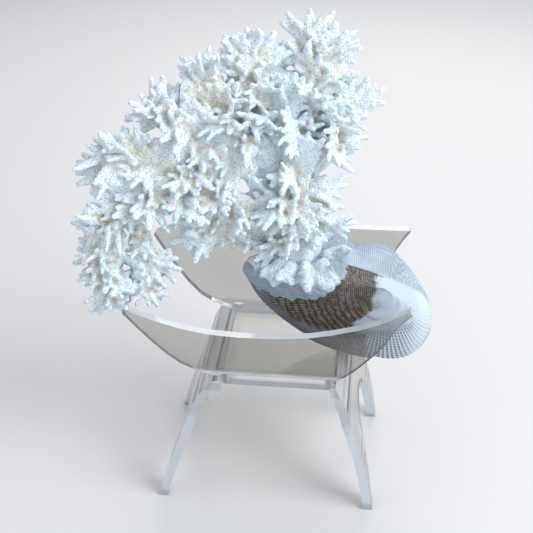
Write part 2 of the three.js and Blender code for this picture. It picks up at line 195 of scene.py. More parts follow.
# %% The limbs
LIMBS = {
    "coral_trunk": {
        "route": [[19, -3, 176], [15, -2, 196], [11, -2, 222], [13, 2, 246]],
        "r": [21, 17],
        "flat": 0.8,
        "tips": [
            [0.25, 58, 2, 199], [0.45, 45, 0, 213], [0.6, 50, 2, 226], [0.35, 34, -28, 198],
            [0.3, 12, -34, 194], [0.55, 24, -32, 214], [0.6, 0, -34, 212], [0.85, 12, -32, 238],
            [0.2, 30, 28, 192], [0.5, 10, 34, 212], [0.75, 26, 32, 234], [0.8, -6, 32, 236],
            [0.1, -12, -22, 180], [0.15, -8, 20, 186],
        ],
    },
    "coral_crown": {
        "route": [[14, 4, 250], [20, 7, 276], [29, 10, 304]],
        "r": [14, 17],
        "flat": 0.5,
        "tips": [
            [0.75, 9, 11, 340.5], [0.8, 20, 12, 341], [1, 29, 13, 329], [1, 37, 13, 336], [1, 48, 14, 333],
            [0.95, 50, 12, 323], [0.8, 50, 8, 314], [0.6, 18, -18, 300], [0.5, 34, -16, 292],
            [0.4, 22, 32, 290], [0.7, 30, 30, 308], [0.2, 6, -24, 276],
        ],
    },
    "coral_right_fan": {
        "route": [[22, 4, 240], [34, 6, 256], [43, 8, 272]],
        "r": [12, 11],
        "flat": 0.55,
        "tips": [
            [1, 58, 12, 303], [1, 63, 12, 296], [0.95, 60, 9, 286], [0.8, 54, 8, 280], [0.6, 55, 8, 267],
            [0.35, 53, 5, 259], [0.15, 51, 4, 245], [0.4, 40, -20, 256], [0.7, 42, -14, 276],
            [0.5, 40, 28, 262], [0.9, 48, 26, 284],
        ],
    },
    "coral_top_fan": {
        "route": [[4, 3, 254], [-6, 2, 278], [-13, 0, 302]],
        "r": [13, 15],
        "flat": 0.5,
        "tips": [
            [1, -23, 0, 336], [1, -14, 2, 334], [0.95, -32, -2, 329], [0.8, -31, -8, 318], [0.8, 0, 4, 329],
            [0.6, -4, -18, 306], [0.3, -8, -28, 282], [0.5, -2, 26, 296], [0.8, -16, 22, 314],
            [0.7, 6, 14, 314],
        ],
    },
    "coral_upper_left": {
        "route": [[-4, -4, 246], [-22, -7, 272], [-40, -10, 298]],
        "r": [13, 15],
        "flat": 0.5,
        "tips": [
            [1, -36, -8, 322], [1, -48, -10, 321], [1, -59, -14, 319], [0.8, -58, -20, 304],
            [0.5, -34, -34, 284], [0.25, -16, -32, 262], [0.6, -30, 18, 292], [0.9, -48, 10, 308],
            [0.7, -24, -22, 302],
        ],
    },
    "coral_left_upper": {
        "route": [[-14, -8, 240], [-40, -14, 262], [-64, -20, 282]],
        "r": [13, 15],
        "flat": 0.5,
        "tips": [
            [1, -76, -20, 305], [1, -89, -26, 295], [0.95, -91, -30, 284], [0.7, -64, -42, 272],
            [0.4, -42, -40, 258], [0.8, -70, 4, 290], [0.5, -46, 14, 272], [0.8, -60, -34, 292],
        ],
    },
    "coral_left": {
        "route": [[-24, -14, 234], [-56, -22, 248], [-88, -30, 256]],
        "r": [12, 19],
        "flat": 0.45,
        "tips": [
            [0.95, -99, -30, 277], [0.85, -84, -28, 274], [1, -110, -34, 270], [1, -119, -36, 264],
            [1, -126, -38, 252], [0.9, -122, -40, 238], [0.7, -84, -50, 244], [0.35, -52, -46, 238],
            [0.8, -92, -10, 258], [0.5, -62, -2, 252],
        ],
    },
    "coral_arch": {
        "route": [[-4, -6, 198], [-25, -14, 218], [-50, -22, 230], [-78, -31, 230], [-100, -39, 216]],
        "r": [15, 16],
        "flat": 0.6,
        "tips": [
            [0.35, -30, -42, 224], [0.5, -48, -50, 220], [0.7, -70, -54, 224], [0.3, -24, 10, 222],
            [0.6, -62, 0, 226], [0.2, -16, -36, 212], [1, -129, -42, 221], [0.95, -104, -58, 212],
        ],
    },
    "coral_lobe": {
        "route": [[-102, -40, 209], [-109, -43, 190], [-106, -44, 168]],
        "r": [15, 12],
        "flat": 0.45,
        "tips": [
            [0.2, -125, -42, 209], [0.4, -129, -44, 191], [0.7, -126, -46, 175], [0.9, -121, -46, 163],
            [1, -116, -46, 150], [1, -109, -45, 142], [0.5, -112, -62, 188], [0.8, -104, -58, 172],
            [0.6, -112, -24, 184],
        ],
    },
    "coral_inner_lobe": {
        "route": [[-88, -36, 212], [-83, -36, 190], [-84, -37, 168]],
        "r": [9, 8],
        "flat": 0.5,
        "tips": [
            [1, -88, -39, 152], [1, -79, -37, 155], [0.7, -70, -34, 172], [0.4, -60, -32, 180],
            [0.8, -94, -38, 160],
        ],
    },
    "coral_under": {
        "route": [[-2, -5, 184], [-22, -12, 199], [-40, -17, 204]],
        "r": [11, 10],
        "flat": 0.6,
        "tips": [
            [1, -49, -20, 184], [0.85, -41, -18, 184], [1, -56, -23, 189], [0.4, -20, -10, 180],
            [0.6, -32, -34, 200],
        ],
    },
}
print(len(LIMBS), "limbs with", sum(len(s["tips"]) for s in LIMBS.values()), "set tips")

# %% [markdown]
# Stubby lobes stand on the crust, and broad plates close the spaces between neighbouring limbs.
# Each stub runs from one point to another, and each plate has a half width too. The coral is
# fullest towards the front, so most blades look that way.

# %% Stubs and plates
STUBS = np.array([
    [[-6, -12, 174], [-15, -16, 172]], [[6, -16, 176], [-2, -30, 170]], [[14, -18, 176], [10, -36, 172]],
    [[24, -18, 176], [24, -36, 170]], [[34, -14, 176], [40, -30, 172]], [[38, -4, 178], [54, 0, 182]],
    [[28, 16, 178], [36, 32, 178]], [[6, 16, 176], [2, 32, 176]],
], float)

# Piece, from, to, half width.
PLATES = [
    ("coral_trunk", (12, -4, 212), (-20, -10, 240), 12),
    ("coral_trunk", (10, 0, 232), (-14, -6, 258), 13),
    ("coral_trunk", (8, -8, 206), (-14, -14, 226), 12),
    ("coral_arch", (-12, -8, 206), (-2, -10, 236), 11),
    ("coral_trunk", (14, -6, 226), (20, -8, 272), 13),
    ("coral_trunk", (4, 6, 230), (6, 2, 276), 13),
    ("coral_crown", (14, -4, 252), (2, 0, 298), 11),
    ("coral_top_fan", (0, -4, 262), (16, -2, 306), 11),
    ("coral_upper_left", (-14, -14, 254), (-52, -20, 280), 12),
    ("coral_upper_left", (-30, -12, 268), (-62, -20, 290), 11),
    ("coral_upper_left", (-24, -6, 270), (-18, -4, 300), 12),
    ("coral_left_upper", (-30, -18, 254), (-78, -30, 262), 12),
    ("coral_left", (-24, -16, 240), (-66, -28, 250), 13),
    ("coral_left", (-60, -28, 240), (-108, -40, 232), 12),
    ("coral_left", (-66, -30, 236), (-96, -40, 222), 12),
    ("coral_arch", (-30, -14, 222), (-56, -26, 248), 13),
    ("coral_arch", (-66, -28, 228), (-112, -42, 232), 12),
    ("coral_lobe", (-100, -40, 214), (-118, -44, 214), 11),
    ("coral_lobe", (-104, -42, 196), (-86, -36, 178), 10),
]

FORWARD = np.array([0.17, 1.0, 0.05])
print(len(STUBS), "stubs and", len(PLATES), "plates")

# %% [markdown]
# ## Growing the fingers
# Real coral of this kind grows as blades that widen, split and end in short rounded fingers.
# Every branch here does the same. It leaves its limb, bends towards its tip, carries smaller
# fingers on alternate sides, and ends in a small fan of tapering fingers. Seeded random numbers
# vary the lengths, angles and tilts, so that no two are alike but every run gives the same coral.

# %% Blades and fingers
def fingers(start, way, face, size, length):
    """Short tapering fingers with rounded ends, bent a little."""
    tip = start + way * length[:, None]
    path = arc(start, (start + tip) / 2, tip, 4)
    width = size[:, None] * np.array([[1.3, 1.1, 0.95, 0.78]])
    return tubes(path, width, width * 0.78, face, 7)


def blades(start, bend, tip, root, end, thin, size, long, count, sprigs, rng):
    """Flat blades that carry fingers across their ends and along both edges.
    Half width runs from root to end; thin is the half thickness; size is the fingers' radius
    and long the least and most of their length over that radius."""
    n = len(start)
    root, end, thin, size = (v * rng.uniform(0.86, 1.14, n) for v in (root, end, thin, size))
    face = unit(FORWARD + rng.normal(0, 0.42, (n, 3)))
    stop = tip - unit(tip - bend) * (size * long[1] * 0.8)[:, None]
    path = arc(start, bend, stop, 9)
    t = np.linspace(0, 1, 9)[None]
    wide = (root[:, None] + (end - root)[:, None] * t**1.4) * (1 + rng.normal(0, 0.04, (n, 9)))
    shapes = [tubes(path, wide, thin[:, None] * (1 + rng.normal(0, 0.06, (n, 9))), face, 10)]
    along = unit(np.gradient(path, axis=1))
    beside = unit(np.cross(along, face[:, None]))
    through = np.cross(beside, along)
    for place in np.linspace(-1, 1, count):
        lean = place + rng.normal(0, 0.12, n)
        way = unit(along[:, -1] + beside[:, -1] * (lean * 0.55)[:, None]
                   + through[:, -1] * rng.normal(0, 0.2, (n, 1)))
        at = path[:, -1] + beside[:, -1] * (lean * end * 0.7)[:, None]
        reach = size * rng.uniform(*long, n) * (1 - 0.2 * np.abs(lean))
        shapes.append(fingers(at, way, through[:, -1], size * rng.uniform(0.86, 1.08, n), reach))
    pick = np.arange(n)
    for m in range(sprigs):
        side = 1.0 if m % 2 else -1.0
        u = np.clip(0.45 + 0.5 * (m // 2 + rng.uniform(0.1, 0.9, n)) / (sprigs / 2), 0, 1)
        i = np.round(u * 8).astype(int)
        way = unit(along[pick, i] * rng.uniform(0.6, 1.2, (n, 1)) + beside[pick, i] * side
                   + through[pick, i] * rng.normal(0, 0.35, (n, 1)))
        at = path[pick, i] + beside[pick, i] * (side * wide[pick, i] * 0.7)[:, None]
        reach = size * rng.uniform(*long, n)
        shapes.append(fingers(at, way, through[pick, i], size * rng.uniform(0.8, 1.0, n), reach))
    return join(shapes)


ORIGIN = np.zeros((1, 3))
SAMPLE = blades(ORIGIN, ORIGIN + [0, 0, 10], ORIGIN + [5, 0, 25], 5.0, 4.0, 2.5, 2.5, (3, 5), 3, 2,
                np.random.default_rng(1))
print("one blade with its fingers has", len(SAMPLE[1]), "triangles")

# %% [markdown]
# A limb is its own thick core, the long blades to its set tips, wide plates set back between
# neighbouring tips, and short sprays that stand out to the front and back, so that the limb is
# bushy all round and not a flat cut-out.

# %% One limb
ALL_TIPS = np.concatenate([np.array(s["tips"], float)[:, 1:] for s in LIMBS.values()])
LOW_CORNER = np.array([-129.0, -60, 92])
HIGH_CORNER = np.array([112.0, 60, 341])


def bent(start, tip, way):
    """The middle control point of each blade: it sets off along the limb and then turns."""
    return start + (tip - start) * 0.3 + way * np.linalg.norm(tip - start, axis=1)[:, None] * 0.25


def limb(name, spec, rng):
    """All the tubes of one limb."""
    route, flat = spec["route"], spec["flat"]
    r0, r1 = spec["r"]
    t = np.linspace(0, 1, 18)
    core = spline(route, t)
    shapes = []
    for depth in (-0.45, 0.0, 0.45):
        sway = np.sin(t * 7 + depth * 9)[:, None] * 2.0
        line = core + FORWARD * (depth * r0 * flat) + np.array([1.0, 0, 0]) * sway
        half = (r0 + (r1 - r0) * t) * (0.76 + 0.1 * np.sin(t * 11 + depth * 5))
        half = half * (1 - 0.5 * t**6) * (1 - 0.3 * (1 - t) ** 6)
        look = unit(FORWARD + np.array([depth * 0.7, 0, 0]))
        shapes.append(tubes(line[None], half[None], half[None] * flat * 0.55, look[None], 18))

    def frame_at(at):
        """Point, direction, and the two ways across, at shares of the route."""
        way = unit(spline(route, np.clip(at + 0.02, 0, 1)) - spline(route, np.clip(at - 0.02, 0, 1)))
        beside = unit(np.cross(way, FORWARD))
        return spline(route, at), way, beside, unit(np.cross(beside, way))

    tips = np.array(spec["tips"], float)
    start, way, _, _ = frame_at(tips[:, 0])
    tip = np.clip(tips[:, 1:], LOW_CORNER, HIGH_CORNER)
    shapes.append(blades(start, bent(start, tip, way), tip, 5.8, 4.4, 2.7, 2.7, (3.8, 6.6), 3, 3, rng))

    own = tips[:, 1:]
    gap = np.linalg.norm(own[:, None] - ALL_TIPS[None], axis=-1)
    i, j = np.nonzero((gap > 3) & (gap < 30))
    keep = rng.permutation(len(i))[:len(own) * 2]
    i, j = i[keep], j[keep]
    share = rng.uniform(0.3, 0.55, (len(i), 1))
    place = own[i] * (1 - share) + ALL_TIPS[j] * share
    place[:, 1] += rng.normal(0, 6, len(i))
    start, way, _, _ = frame_at(tips[i, 0])
    tip = start + (place - start) * rng.uniform(0.55, 0.8, (len(i), 1))
    tip = np.clip(tip, LOW_CORNER, HIGH_CORNER)
    shapes.append(blades(start, bent(start, tip, way), tip, 8.2, 7.2, 2.4, 2.5, (2.8, 5.4), 3, 1, rng))

    count = 17
    at = rng.uniform(0.0, 1.0, count)
    start, way, beside, through = frame_at(at)
    a = rng.uniform(0, 2 * math.pi, count)
    out = beside * np.cos(a)[:, None] * 0.45 + through * np.sin(a)[:, None]
    local = r0 + (r1 - r0) * at
    reach = local * np.hypot(0.45 * np.cos(a), flat * np.sin(a)) * 0.8 + rng.uniform(10, 20, count)
    tip = start + unit(out + way * rng.uniform(0.1, 1.0, (count, 1))) * reach[:, None]
    tip = np.clip(tip, LOW_CORNER, HIGH_CORNER)
    shapes.append(blades(start, bent(start, tip, way), tip, 5.2, 5.0, 2.4, 2.3, (3.0, 6.0), 3, 0, rng))

    for piece, a, b, half in PLATES:
        if piece == name:
            a, b = np.array([a], float), np.array([b], float)
            shapes.append(blades(a, (a + b) / 2, b, half * 0.85, half * 1.05, 2.8, 2.7,
                                 (1.6, 3.2), 4, 4, rng))
    return join(shapes)


print("all tips lie between", ALL_TIPS.min(0), "and", ALL_TIPS.max(0))


# %% [markdown]
# ## Fusing and smoothing
# The tubes only overlap. The Remesh modifier wraps them in one even skin, and a light smoothing
# rounds the forks as growing coral does. Three numbers are then stored at each point. "reach" is
# how far the point stands out from the limb's middle line. "hollow" is how deep it sits between
# its neighbours: the skin is averaged with its neighbours many times, and the way each point
# moves says whether it lies in a dip or on a knob. "deep" is the same over a wider reach. The
# colours will use all three.

# %% Skin
def fuse(obj, voxel, smooth):
    """The object's tubes as one closed skin."""
    cover = obj.modifiers.new("cover", "REMESH")
    cover.mode = "VOXEL"
    cover.voxel_size = voxel
    soft = obj.modifiers.new("soften", "SMOOTH")
    soft.factor = 0.5
    soft.iterations = smooth
    graph = bpy.context.evaluated_depsgraph_get()
    mesh = bpy.data.meshes.new_from_object(obj.evaluated_get(graph))
    obj.modifiers.clear()
    obj.data = mesh
    mesh.polygons.foreach_set("use_smooth", np.ones(len(mesh.polygons), bool))
    return obj


def points_of(mesh):
    """A mesh's points in millimetres from the stand's centre line."""
    co = np.empty(len(mesh.vertices) * 3)
    mesh.vertices.foreach_get("co", co)
    return (co.reshape(-1, 3) - SHIFT) * 1000


def neighbours_mean(co, edges, rounds):
    """Each point moved to the mean of its neighbours, again and again."""
    count = np.bincount(edges.ravel(), minlength=len(co))[:, None]
    for _ in range(rounds):
        total = np.stack([
            np.bincount(edges[:, 0], co[edges[:, 1], k], len(co))
            + np.bincount(edges[:, 1], co[edges[:, 0], k], len(co)) for k in range(3)], 1)
        co = total / np.maximum(count, 1)
    return co


def store(mesh, name, values):
    """One number a point, kept on the mesh for the materials."""
    layer = mesh.attributes.new(name, "FLOAT", "POINT")
    layer.data.foreach_set("value", values.astype(np.float32))


def measure(obj, line):
    """Stores reach, hollow and deep on a coral piece."""
    mesh = obj.data
    co = points_of(mesh)
    edges = np.empty(len(mesh.edges) * 2, np.int32)
    mesh.edges.foreach_get("vertices", edges)
    edges = edges.reshape(-1, 2)
    normal = np.empty(len(co) * 3)
    mesh.vertex_normals.foreach_get("vector", normal)
    normal = normal.reshape(-1, 3)
    drift = neighbours_mean(co, edges, 18) - co
    hollow = np.clip(0.5 + (drift * normal).sum(1) * 0.42, 0, 1)
    store(mesh, "hollow", hollow)
    wide = neighbours_mean(co, edges, 90) - co
    store(mesh, "deep", np.clip(0.45 + (wide * normal).sum(1) * 0.13, 0, 1))
    away = np.full(len(co), 1e9)
    for p in line:
        away = np.minimum(away, np.linalg.norm(co - p, axis=1))
    store(mesh, "reach", np.clip((away - 8) / 22, 0, 1))


VOXEL = 0.0009
print("skin is drawn on cells of", VOXEL * 1000, "mm")

# %% [markdown]
# Now every limb is grown, fused and measured. Each one stands in for the solid of the same name,
# and takes its finish from the coral slot.

# %% Grow every limb
coral_pieces = []
total = 0
for number, (name, spec) in enumerate(LIMBS.items()):
    rng = np.random.default_rng(40 + number)
    verts, faces = limb(name, spec, rng)
    piece = fuse(to_mesh(name + "_fingers", verts, faces), VOXEL, 2)
    measure(piece, spline(spec["route"], np.linspace(0, 1, 24)))
    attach(piece, "root")
    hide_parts(name)
    coral_pieces.append(piece)
    count = 2 * len(piece.data.polygons)
    total += count
    print(name, "about", count, "triangles")
print("coral in all", total)

# %% [markdown]
# ## The clam
# A valve is a dome over the shell's outline. Every line from the beak to the rim is one ray of
# the dome, and its height falls off towards the rim. Two sets of ridges are pressed into it:
# fine ribs along the rays, and growth ridges across them, which is what makes such shells feel
# like a file. The inside is the same dome, smaller, so the valve is a real bowl with a rim.

# %% Outline and domes
UMBO = np.array([78.0, 0.0, 160.0])
BEAK_RISE, HALF_THICK, WALL, SEAM = 10.0, 31.0, 4.0, 0.2
RIBS = 88
RIM = [
    (0, 0), (-12, 4), (-26, 8), (-52, 13), (-80, 12), (-97, 3), (-90, -18), (-60, -46),
    (-34, -58.5), (-10, -64), (8, -66), (21, -62), (31, -50), (35, -30), (28, -14), (13, -5),
]


def rim_points(count):
    """Evenly spaced points round the rim, with the share of the way round that each has."""
    flat = np.array(RIM, float)
    p = np.stack([UMBO[0] + flat[:, 0], np.zeros(len(flat)), UMBO[2] + flat[:, 1]], 1)
    fine = spline(p, np.linspace(0, 1, 4001), closed=True)
    run = np.concatenate([[0], np.cumsum(np.linalg.norm(np.diff(fine, axis=0), axis=1))])
    share = np.arange(count) / count
    return np.stack([np.interp(share * run[-1], run, fine[:, k]) for k in range(3)], 1), share


def dome(grow, side, rings, around):
    """beak + (rim - beak)*s across, and thickness*(1 - s^2.1)^0.6 out, for s from 0 to 1."""
    rim, share = rim_points(around)
    middle = np.array([UMBO[0] - 20, 0, UMBO[2] - 24])
    out = rim + unit(rim - middle) * grow
    beak = np.array([UMBO[0], 0, UMBO[2] + BEAK_RISE + grow * 0.6])
    s = np.sin(math.pi / 2 * np.arange(rings + 1) / rings)
    across = beak + (out[None] - beak) * s[:, None, None]
    high = (HALF_THICK + grow) * (1 - s**2.1) ** 0.6
    across[..., 1] = side * high[:, None]
    return across, s, share


def smoothstep(low, high, x):
    """0 below low, 1 above high, and a soft S between."""
    t = np.clip((x - low) / (high - low), 0, 1)
    return t * t * (3 - 2 * t)


print("the shell is", round(float(np.ptp(rim_points(400)[0][:, 0])), 1), "mm along x")

# %% [markdown]
# The ridges are added along the dome's own outward direction. They are coarse on the end by the
# beak and twice as fine on the rest, they fade at the rim, where the two valves meet, and they
# are nearly gone where the beak is worn.

# %% One valve
def valve(name, side):
    """The ribbed outer dome, the smooth inner one, and the rim that joins them."""
    rings, around = 96, 336
    outer, s, share = dome(0, side, rings, around)
    inner, _, _ = dome(-WALL, side, rings, around)
    step = np.roll(outer, -1, 1) - np.roll(outer, 1, 1)
    down = np.gradient(outer, axis=0)
    normal = unit(np.cross(step, down)) * -side
    normal[0] = np.array([0, side, 0])
    grown = s[:, None] ** 1.15
    right = smoothstep(66, 84, outer[..., 0])
    worn = 1 - smoothstep(0.30, 0.44, s[:, None] + 0.04 * np.sin(share * 2 * math.pi * 7)[None])
    worn = worn * smoothstep(64, 76, outer[..., 0])
    fine = 0.20 * np.cos(2 * math.pi * 2 * RIBS * share)[None] * (1 - right)
    ribs = 0.30 * np.cos(2 * math.pi * RIBS * share)[None] * right + fine
    ribs = ribs * smoothstep(0.2, 0.5, grown)
    ridge = 0.22 * (np.abs((grown * 34 + 0.25 * np.sin(share * 40)[None]) % 1 - 0.5) * 2 - 0.5)
    swell = 0.45 * np.sin(2 * math.pi * (grown * 6.5))
    edge = 1 - smoothstep(0.97, 1.0, s)[:, None]
    lift = ((ribs + ridge) * (1 - 0.85 * worn) + swell * 0.5) * edge
    outer = outer + normal * lift[..., None]
    outer[..., 1] += side * SEAM
    inner[..., 1] += side * SEAM
    n = around
    body = np.concatenate([outer[0, :1], outer[1:].reshape(-1, 3),
                           inner[0, :1], inner[1:].reshape(-1, 3)])
    half = 1 + rings * n
    i = np.arange(n)
    k = (i + 1) % n
    fan = np.stack([np.zeros(n, int), 1 + i, 1 + k], 1)
    j, c = np.meshgrid(np.arange(rings - 1), i, indexing="ij")
    a = 1 + j * n + c
    b = 1 + j * n + (c + 1) % n
    skin = np.concatenate([fan, np.stack([a, a + n, b + n], -1).reshape(-1, 3),
                           np.stack([a, b + n, b], -1).reshape(-1, 3)])
    e = 1 + (rings - 1) * n
    lip = np.concatenate([np.stack([e + i, half + e + i, half + e + k], 1),
                          np.stack([e + i, half + e + k, e + k], 1)])
    faces = np.concatenate([skin, skin[:, ::-1] + half, lip])
    if side > 0:
        faces = faces[:, ::-1]
    obj = to_mesh(name, body, faces)
    mesh = obj.data
    mesh.polygons.foreach_set("use_smooth", np.ones(len(mesh.polygons), bool))
    along = np.concatenate([[0], np.repeat(s[1:], n), [0], np.repeat(s[1:], n)])
    turn = np.concatenate([[0], np.tile(share, rings), [0], np.tile(share, rings)])
    inside = np.concatenate([np.zeros(half), np.ones(half)])
    store(mesh, "grown", along)
    store(mesh, "around", turn)
    store(mesh, "inside", inside)
    return obj


valves = [valve("front_valve_ribbed", -1), valve("back_valve_ribbed", 1)]
for piece, node in zip(valves, ("shell_front_valve", "shell_back_valve")):
    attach(piece, "root")
    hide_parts(node)
print("each valve has", len(valves[0].data.polygons), "triangles")

# %% [markdown]
# ## The crust
# Where the coral took hold it spread over the shell as a thin crust with a ragged edge. It is
# made from many small pats laid on the dome inside a patch, fused into one skin, with the
# stubby lobes that stand on it.

# %% Crust and stubs
CRUST_MIDDLE, CRUST_REACH = [11, 0, 181], [42, 60, 30]
PATS = 2600


def crust(rng):
    """Round pats on the grown dome where its distance from the patch's middle, over the patch's
    reach, is below 1 plus a small wave."""
    spots = np.concatenate([dome(0.9, side, 60, 220)[0][2:].reshape(-1, 3) for side in (-1, 1)])
    d = (spots - CRUST_MIDDLE) / CRUST_REACH
    wave = (np.sin(spots[:, 0] * 0.55) * np.sin(spots[:, 2] * 0.7 + 1)
            + 0.7 * np.sin(spots[:, 0] * 1.3 + spots[:, 1] * 0.5))
    inside = np.linalg.norm(d, axis=1) < 1 + 0.035 * wave
    spots = spots[inside]
    spots = spots[rng.permutation(len(spots))[:PATS]]
    up = np.repeat(np.array([[0.3, 0.2, 1.0]]), len(spots), 0)
    path = arc(spots - unit(up) * 1.2, spots, spots + unit(up) * 0.2, 3)
    size = rng.uniform(1.6, 2.3, (len(spots), 1)) * np.array([[0.7, 1.0, 0.95]])
    pats = tubes(path, size, size, np.repeat(FORWARD[None], len(spots), 0), 6)
    a, b = STUBS[:, 0], STUBS[:, 1]
    lobes = blades(a, (a + b) / 2, b, 6.0, 4.6, 4.2, 3.7, (1.0, 2.0), 2, 2, rng)
    return join([pats, lobes])


verts, faces = crust(np.random.default_rng(7))
base = fuse(to_mesh("coral_crust", verts, faces), VOXEL, 2)
measure(base, np.array([[14.0, 0, 176], [30, 0, 176], [0, 0, 176]]))
print("crust about", 2 * len(base.data.polygons), "triangles")

# %% [markdown]
# The crust's open skin is greyer and darker than its lobes: partly its own grey, partly painted shade,
# since it lies under the coral. One more stored number, "skirt", is 0 within 5.5 mm of a lobe and 1 from
# 8.5 mm on, and the crust's colour will use it.

# %% Skirt of the crust
apart = np.full(len(base.data.vertices), 1e9)
spots = points_of(base.data)
for share in np.linspace(0.1, 1, 7):
    for p in STUBS[:, 0] * (1 - share) + STUBS[:, 1] * share:
        apart = np.minimum(apart, np.linalg.norm(spots - p, axis=1))
store(base.data, "skirt", smoothstep(5.5, 8.5, apart))
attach(base, "root")
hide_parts("coral_base")
coral_pieces.append(base)
print("points on the open skin", int((apart > 8.5).sum()))

# %% [markdown]
# ## Writing shaders as sums
# A material is a graph of nodes. A small class wraps one socket, so that sums on it build the
# Math nodes, and a single method adds any other kind of node. The short helpers after it only
# save typing for what is used most: a coordinate, noise, a stored number and a soft step.

# %% A socket that can be added and multiplied
class Wire:
    """One output socket of a material's node graph."""

    def __init__(self, tree, socket):
        self.tree = tree
        self.socket = socket

    def node(self, kind, settings=(), out=0, **inputs):
        """Adds a node, sets it up, links or sets its inputs, and gives its output."""
        made = self.tree.nodes.new(kind)
        for key, value in dict(settings).items():
            setattr(made, key, value)
        for key, value in inputs.items():
            number = key.rsplit("_", 1)[-1]
            socket = made.inputs[int(number) if number.isdigit() else key.replace("_", " ")]
            if isinstance(value, Wire):
                self.tree.links.new(value.socket, socket)
            else:
                socket.default_value = value
        return Wire(self.tree, made.outputs[out])

    def maths(self, operation, a, b=0.0):
        return self.node("ShaderNodeMath", {"operation": operation}, in_0=a, in_1=b)

    def __add__(self, other):
        return self.maths("ADD", self, other)

    def __sub__(self, other):
        return self.maths("SUBTRACT", self, other)

    def __rsub__(self, other):
        return self.maths("SUBTRACT", other, self)

    def __mul__(self, other):
        return self.maths("MULTIPLY", self, other)

    def __abs__(self):
        return self.maths("ABSOLUTE", self)

    __radd__ = __add__
    __rmul__ = __mul__

    def axis(self, number):
        """One coordinate of a place or a direction: 0 for x, 1 for y, 2 for z."""
        return self.node("ShaderNodeSeparateXYZ", out=number, Vector=self)

    def noise(self, scale, detail):
        """Soft random clouds, about scale of them in a metre."""
        return self.node("ShaderNodeTexNoise", Vector=self, Scale=scale, Detail=detail)

    def stored(self, name):
        """A number that was kept at each point of the mesh."""
        return self.node("ShaderNodeAttribute", {"attribute_name": name}, out=2)

    def wave(self):
        """The cosine of this, moved so that it runs from 0 to 1."""
        return self.maths("COSINE", self) * 0.5 + 0.5

    def ease(self, low, high):
        """0 below low, 1 above high, and a soft S between."""
        return self.node("ShaderNodeMapRange", {"interpolation_type": "SMOOTHSTEP"},
                         in_0=self, in_1=low, in_2=high, in_3=0.0, in_4=1.0)

    def blend(self, first, second):
        """first where this is 0, second where it is 1. Both are colours."""
        return self.node("ShaderNodeMix", {"data_type": "RGBA"}, out=2, in_0=self, in_6=first, in_7=second)


print("a wire's helpers:", [word for word in vars(Wire) if not word.startswith("_")])

# %% [markdown]
# Every material starts the same way: a Principled shader and the place of each point on the
# object. What changes over the surface is then linked to the shader's inputs.

# %% Starting a material
def material(name):
    """An empty material with its Principled shader, and a wire to start from."""
    made = bpy.data.materials.new(name)
    made.use_nodes = True
    tree = made.node_tree
    shader = tree.nodes["Principled BSDF"]
    place = tree.nodes.new("ShaderNodeTexCoord")
    return made, tree, shader, Wire(tree, place.outputs["Object"])


def feed(tree, shader, **wires):
    """Links wires to the shader's inputs."""
    for key, wire in wires.items():
        tree.links.new(wire.socket, shader.inputs[key.replace("_", " ")])


def dress(piece, skin):
    """Gives a piece one material and no other."""
    piece.data.materials.clear()
    piece.data.materials.append(skin)


print("materials so far", len(bpy.data.materials))

# %% [markdown]
# ## Coral white
# Bleached coral is chalky white, with a few ochre stains. Light and shade are painted into its colour: the
# exposed fingers get the coolest white, as the lit side, and the hollows between the fingers a cream tone,
# as painted shade, with a dusky grey in the deepest places. Tiny cups, between one and two millimetres
# apart, cover it all: each is a raised ring with a grey dot, painted shade in its pit, and fine bright
# specks are painted sparkle.

# %% Coral material
# The first of these colours is painted shade for the coral's deep places, OCHRE is real stain, and the last
# is painted sparkle.
PAINTED_SHADE, OCHRE, SPARKLE = (0.40, 0.37, 0.31, 1), (0.50, 0.34, 0.15, 1), (0.92, 0.96, 1.0, 1)
CUPS_PER_METRE = 600.0


def coral_paint(name, cool, shade_cream, dot, skirt=None):
    """Chalky skin with painted light and shade: cool white on the fingers as the lit side, cream in the
    hollows and a dusky grey in deep places as painted shade, a grey dot of painted shade in every cup.
    skirt is the colour of the thin crust, where there is one: its own grey with painted shade, as it lies
    under the coral."""
    made, tree, shader, spot = material(name)
    hollow, reach, deep = spot.stored("hollow"), spot.stored("reach"), spot.stored("deep")
    cups = spot.node("ShaderNodeTexVoronoi", Vector=spot, Scale=CUPS_PER_METRE, Randomness=0.75)
    cloud, patch, grain = spot.noise(26.0, 4.0), spot.noise(15.0, 3.0), spot.noise(850.0, 2.0)
    # Painted light and shade: cream where the skin sits in hollows or turns inward, cool white where it
    # stands out.
    depth = (hollow * 0.9 + (1 - reach) * 0.2 + (cloud - 0.5) * 0.9).ease(0.35, 0.95)
    ground = depth.blend(cool, shade_cream)
    # Painted shade: the deep places, where the coral shades itself, get the dusky colour.
    shade = (deep + (cloud - 0.5) * 0.4).ease(0.42, 0.85)
    ground = (shade * 0.45).blend(ground, PAINTED_SHADE)
    # Partly painted shade: the open crust, which lies under the coral, gets a darker grey-blue over its own
    # grey.
    if skirt:
        ground = (spot.stored("skirt") * (0.75 + cloud * 0.4)).blend(ground, skirt)
    stain = (patch + hollow * 0.12).ease(0.74, 0.84)
    ground = (stain * 0.45).blend(ground, OCHRE)
    # Painted shade: a grey dot in each cup stands for the shade in its pit.
    pore = (1 - cups.ease(0.18, 0.42)) * (0.25 + cloud * 0.9)
    ground = (pore * 0.42).blend(ground, dot)
    ground = (grain.ease(0.5, 0.75) * 0.25).blend(ground, SPARKLE)
    height = cups.ease(0.12, 0.5) + grain * 0.4
    bump = spot.node("ShaderNodeBump", Height=height, Strength=0.75, Distance=0.0008)
    feed(tree, shader, Base_Color=ground, Roughness=0.75 + grain * 0.2, Normal=bump)
    shader.inputs["Specular IOR Level"].default_value = 0.3
    return made


